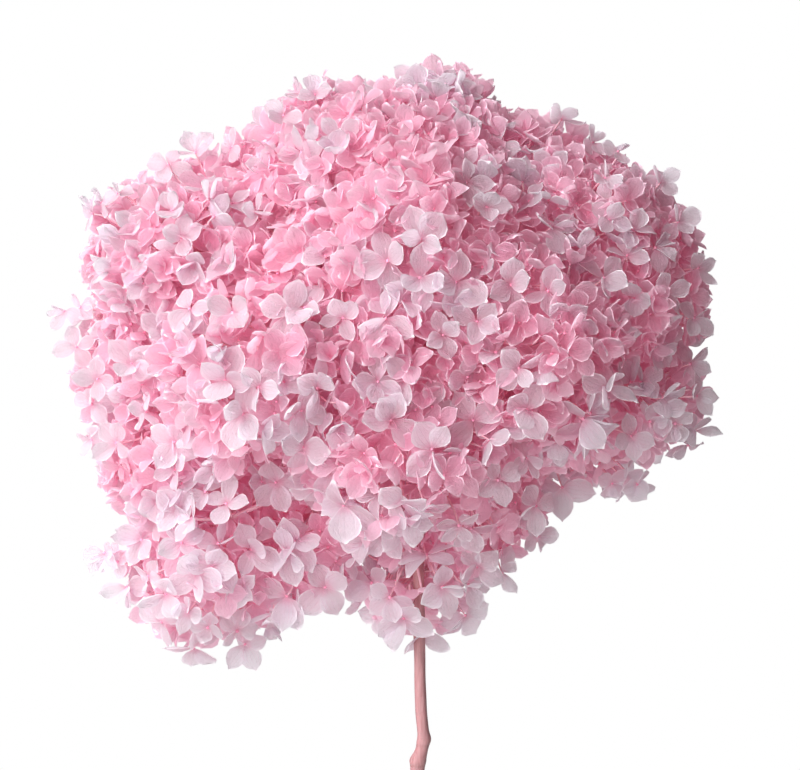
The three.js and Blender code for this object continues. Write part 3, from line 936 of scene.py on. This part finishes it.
def addPetals(heap, traits, chosen, grid, first, total):
    across, along = np.meshgrid(*grid)
    rows, columns = across.shape
    each = {k: v[chosen].ravel()[:, None] for k, v in traits.items() if v.shape[1:] == (4,)}
    lengthwise = traits["way"][chosen].reshape(-1, 3)
    upright = traits["upright"][chosen].reshape(-1, 3)
    crosswise = np.cross(lengthwise, upright)
    top = petalShape(across, along, {k: v[:, None] for k, v in each.items()})
    count = len(top)
    top[..., 1] += petalPlan["heartGap"]
    top[..., 2] += (np.arange(count) % 2 * petalPlan["overlap"])[:, None, None]
    under = top.copy()
    under[..., 2] -= petalPlan["thickness"] * (1 - np.maximum(np.abs(across), np.abs(2 * along - 1)) ** 10)
    axes = np.stack([crosswise, lengthwise, upright], 1)
    middle = np.repeat(traits["middle"][chosen], 4, 0)[:, None, None]
    top, under = (np.einsum("nrcj,njk->nrck", sheet, axes) + middle for sheet in (top, under))
    inner = np.zeros((rows, columns), bool)
    inner[1:-1, 1:-1] = True
    underIndex = np.arange(rows * columns).reshape(rows, columns)
    underIndex[inner] = rows * columns + np.arange(inner.sum())
    points = np.concatenate([top.reshape(count, -1, 3), under[:, inner]], 1)
    marks = np.stack(np.broadcast_arrays(across, along, each["tone"][:, None]), -1)
    marks = np.concatenate([marks.reshape(count, -1, 3), marks[:, inner]], 1)
    faces, corners = gridFaces(rows, columns)
    flat = np.stack([(across + 1) / 2, along], -1)[corners[..., 0], corners[..., 1]] * 0.88 + 0.06
    start = (np.arange(count) * points.shape[1])[:, None, None]
    low, size = mapCells(count * 2, total, first)
    above, below = (part.reshape(1, -1, 2) * size for part in (flat, flat[:, ::-1]))
    cells = [low[:count] + above, low[count:] + below]
    heap.add(points, marks, [faces + start, underIndex.ravel()[faces][:, ::-1] + start], cells)


def makePetals(traits, name, look, count, inside):
    material = petalFinish(f"{name}_petal", look)
    spot = traits["middle"] - headMiddle
    band = np.digitize(spot[:, 2], np.quantile(spot[:, 2], [0.25, 0.5, 0.75]))
    order = np.lexsort([np.arctan2(spot[:, 1], spot[:, 0]), band])
    order = order[traits["inside"][order] == inside]
    pieces = []
    for number, part in enumerate(np.array_split(order, count), 1):
        heap = Heap()
        first = 0
        for layer, grid in enumerate(petalPlan["grids"]):
            chosen = part[traits["layer"][part] == layer]
            if len(chosen):
                addPetals(heap, traits, chosen, grid, first, 8 * len(part))
                first += 8 * len(chosen)
        pieces.append(heap.build(f"{name}_{number:02d}", material))
    return pieces


stalkPlan = {
    "floretStalk": (0.60 * mm, 0.38 * mm),  # radii at the two ends
    "branch": (1.5 * mm, 0.8 * mm),
    "heart": (0.70 * mm, 0.8, 1.1),  # radius, and the least and most of it as shares
    "bendBelow": 6 * mm,  # where a floret's stalk turns towards it
    "crossing": (15 * mm, 55 * mm),  # how far below the stem's top the branches leave it
    "branchRise": 12 * mm,
    "pieces": 4,
}

stalkLook = {
    "pale": (0.99, 0.68, 0.75),
    "dark": (0.93, 0.50, 0.57),
    "heart": (0.96, 0.40, 0.56),
    "roughness": 0.5,
}


def stalkFinish():
    look = stalkLook
    f = Finish(bpy.data.materials.new("stalk"))
    _, heart, tone = f.marks()
    streaks = f.step(0.3, 0.7, f.noise(500, 4))
    colour = f.mix(look["pale"], look["dark"], tone * 0.6 + streaks * 0.25)
    colour = f.mix(colour, look["heart"], heart)
    return f.finished(f.node("ShaderNodeBsdfPrincipled", None, {
        "Base Color": colour, "Roughness": look["roughness"], "Normal": f.bump(streaks, 0.4, 0.0003),
        "Subsurface Weight": 0.1, "Subsurface Radius": (0.002, 0.0008, 0.0008),
    }))


def makeFloretStalks(traits, chosen, name, material):  # the stalks and hearts of the chosen florets
    heap = Heap()
    middle, facing, root = (traits[key][chosen] for key in ("middle", "facing", "root"))
    count = len(middle)
    tone = rng.uniform(0, 1, (count, 1))
    paths = curves([root, middle - facing * stalkPlan["bendBelow"], middle - facing * 0.2 * mm], 5)
    radii = np.linspace(*stalkPlan["floretStalk"], 5) + 0 * tone
    addTubes(heap, paths, radii, np.stack([0 * radii, 0 * radii, tone + 0 * radii], -1), 4, 0, 2 * count)
    radius, *shares = stalkPlan["heart"]
    size = rng.uniform(*shares, (count, 1)) * radius
    paths = middle[:, None] + facing[:, None] * (np.array([-0.25, 0.0, 0.45, 0.85, 1.1]) * size)[..., None]
    radii = np.array([0.35, 0.85, 1.0, 0.8, 0.35]) * size
    addTubes(heap, paths, radii, np.stack([0 * radii, 0 * radii + 1, 0 * radii], -1), 6, count, 2 * count)
    return heap.build(name, material)


def makeBranches(domes, name, material):  # from the stem to each dome
    heap = Heap()
    centres, axes, sizes = domes
    ends = centres - axes * sizes[:, None] * headPlan["domeRoot"]
    starts = stemAt(stemTop - rng.uniform(*stalkPlan["crossing"], len(ends)))
    rise = np.array([0, 0, stalkPlan["branchRise"]])
    lower, upper = starts + (ends - starts) * 0.15 + rise, (starts + ends) / 2 + rise * 1.5
    paths = curves([starts, lower, upper, ends], 12)
    radii = np.linspace(*stalkPlan["branch"], 12) + np.zeros((len(ends), 1))
    addTubes(heap, paths, radii, np.stack([0 * radii, 0 * radii, 0 * radii + 0.5], -1), 6, 0, len(ends))
    return heap.build(name, material)


def makeStalks(traits, domes):
    material = stalkFinish()
    order = np.argsort(traits["middle"][:, 0])
    pieces = [makeBranches(domes, "branches", material)]
    for number, part in enumerate(np.array_split(order, stalkPlan["pieces"]), 1):
        pieces.append(makeFloretStalks(traits, part, f"stalks_{number}", material))
    return pieces


jarPlan = {
    "sides": 112,
    "wall": 3.2 * mm,
    "floor": 8 * mm,
    "foot": 42 * mm,
    "shoulder": 112 * mm,
    "shoulderPull": 17 * mm,
    "neckPull": 12 * mm,
    "neck": 134 * mm,
    "mouth": 21 * mm,
    "rim": 27 * mm,
    "rimHeight": 6 * mm,
    "pushUp": 2.2 * mm,  # how far the middle of the underside stands up
    "hub": 5 * mm,  # radius of the flat faces in the middle of the underside and of the floor
}

glassLook = {
    "tint": (0.965, 0.985, 0.978),
    "index": 1.46,
    "roughness": (0.01, 0.06),
}


def glassFinish():
    look = glassLook
    f = Finish(bpy.data.materials.new("clear_glass"))
    clean, dusty = look["roughness"]
    return f.finished(f.node("ShaderNodeBsdfPrincipled", None, {
        "Base Color": look["tint"], "Roughness": clean + f.step(0.45, 0.8, f.noise(160, 5)) * (dusty - clean),
        "IOR": look["index"], "Transmission Weight": 1.0, "Normal": f.bump(f.noise(45, 2), 0.12, 0.002),
    }))


# Half the jar's section: out along the underside, up the outside, over the rim and down the inside.
def jarLine():
    plan = jarPlan
    height = jarHigh[2]
    body = (jarHigh[0] - jarLow[0]) / 2
    neck = plan["mouth"] + plan["wall"]
    inside = body - plan["wall"]
    step = body - plan["foot"]
    lip = plan["wall"] / 2
    shoulderTop = plan["shoulder"] + plan["shoulderPull"]
    hollowTop = shoulderTop - plan["wall"]
    neckLow = plan["neck"] - plan["neckPull"]
    rimLow = height - plan["rimHeight"]
    rimMiddle = height - plan["rimHeight"] / 2
    foot, shoulder, mouth, rim = (plan[k] for k in ("foot", "shoulder", "mouth", "rim"))
    floor, hub, push = (plan[k] for k in ("floor", "hub", "pushUp"))
    stretches = (
        ([(hub, push), (foot * 0.6, push), (foot - 5 * mm, 0.2 * mm), (foot - 4 * mm, 0)], 10),
        ([(foot - 4 * mm, 0), (foot, 0)], 3),
        ([(foot, 0), (body, 0), (body, step)], 8),
        ([(body, step), (body, shoulder)], 16),
        ([(body, shoulder), (body, shoulderTop), (neck, neckLow), (neck, plan["neck"])], 20),
        ([(neck, plan["neck"]), (neck, rimLow - mm)], 6),
        ([(neck, rimLow - mm), (rim, rimLow), (rim, rimMiddle)], 8),
        ([(rim, rimMiddle), (rim, height), (neck - lip, height)], 8),
        ([(neck - lip, height), (mouth, height), (mouth, height - lip)], 6),
        ([(mouth, height - lip), (mouth, plan["neck"])], 8),
        ([(mouth, plan["neck"]), (mouth, neckLow - lip), (inside, hollowTop), (inside, shoulder)], 20),
        ([(inside, shoulder), (inside, floor + step)], 16),
        ([(inside, floor + step), (inside, floor), (inside - step, floor)], 8),
        ([(inside - step, floor), (hub, floor)], 8),
    )
    line = np.concatenate([curves(*stretch) for stretch in stretches])
    apart = np.linalg.norm(np.diff(line, axis=0, prepend=-1), axis=1) > 0.02 * mm
    return line[apart]


def makeJar():
    radius, height = jarLine().T[:, :, None]
    turn, faces, cells = closedTube(len(radius), jarPlan["sides"])
    points = np.stack([radius * np.cos(turn), radius * np.sin(turn), height + 0 * turn], -1)
    heap = Heap()
    heap.add(points, 0 * points, faces, cells)
    return heap.build("jar_glass", glassFinish())


studio = {
    "floorRadius": 0.60,
    "floor": ((0.86, 0.85, 0.84), (0.90, 0.89, 0.88)),
    "floorRoughness": 0.9,
    "surroundings": 0.08,  # how bright the room is, apart from what is seen straight or through glass
    "roomColour": (1.0, 0.97, 0.93),
    "keyPlace": (-1.75, -0.95, 1.60),
    "keySize": 1.9,
    "keyPower": 74,
    "keyColour": (0.97, 0.98, 1.0),
    "fillPlace": (-0.80, -1.60, 0.50),
    "fillSize": 1.6,
    "fillPower": 26,
    "backPlace": (-0.6, 2.0, 1.3),
    "backSize": 2.2,
    "backPower": 34,
    "bounces": 32,
}


def areaLight(name, place, size, power, colour):
    data = bpy.data.lights.new(name, "AREA")
    data.shape = "DISK"
    data.size = size
    data.energy = power
    data.color = colour
    lamp = bpy.data.objects.new(name, data)
    lamp.location = place
    aim = unit(headMiddle - np.array(place))
    lamp.rotation_euler = (math.acos(-aim[2]), 0, math.atan2(-aim[0], aim[1]))
    scene.collection.objects.link(lamp)


def makeStudio():
    f = Finish(bpy.data.worlds.new("studio"))
    path = f.node("ShaderNodeLightPath").socket.node
    kinds = ("Is Camera Ray", "Is Diffuse Ray", "Is Transmission Ray")
    camera, diffuse, through = (Field(f, path.outputs[kind]) for kind in kinds)
    straight = camera.atLeast(through * (1 - diffuse))
    dim = studio["surroundings"]
    colour = f.mix(studio["roomColour"], (1, 1, 1), straight)
    room = f.node("ShaderNodeBackground", None, {"Color": colour, "Strength": dim + straight * (1 - dim)})
    scene.world = f.finished(room, "ShaderNodeOutputWorld")
    areaLight("key", studio["keyPlace"], studio["keySize"], studio["keyPower"], studio["keyColour"])
    areaLight("fill", studio["fillPlace"], studio["fillSize"], studio["fillPower"], (1, 1, 1))
    areaLight("back", studio["backPlace"], studio["backSize"], studio["backPower"], (1, 1, 1))
    paper = Finish(bpy.data.materials.new("floor_paper"))
    colour = paper.mix(*studio["floor"], paper.noise(60, 4))
    values = {"Base Color": colour, "Roughness": studio["floorRoughness"]}
    paper.finished(paper.node("ShaderNodeBsdfPrincipled", None, values))
    bpy.ops.mesh.primitive_circle_add(vertices=96, radius=studio["floorRadius"], fill_type="NGON",
                                      location=(0, 0, jarLow[2] - 0.2 * mm))
    floor = bpy.context.object
    floor.name = "floor"
    floor.data.materials.append(paper.owner)
    scene.view_settings.view_transform = "Standard"
    for kind in ("max_bounces", "diffuse_bounces", "transmission_bounces"):
        setattr(scene.cycles, kind, studio["bounces"])


makeCamera()
makeStudio()
print("camera and studio ready")

domes = placeDomes()
traits = floretTraits(placeFlorets(domes))
print("domes:", len(domes[0]))

outer = makePetals(traits, "outer_florets", outerLook, petalPlan["outerPieces"], False)
inner = makePetals(traits, "inner_florets", innerLook, petalPlan["innerPieces"], True)
for piece in [*outer, *inner, *makeStalks(traits, domes)]:
    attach(piece, "root")
    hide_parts("flower_head")
print("flower head ready")

for piece, node, slot in ((makeStem(), "stem", "stem"), (makeJar(), "glass_jar", "glass")):
    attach(piece, "root")
    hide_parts(node)
print("stem and jar ready")
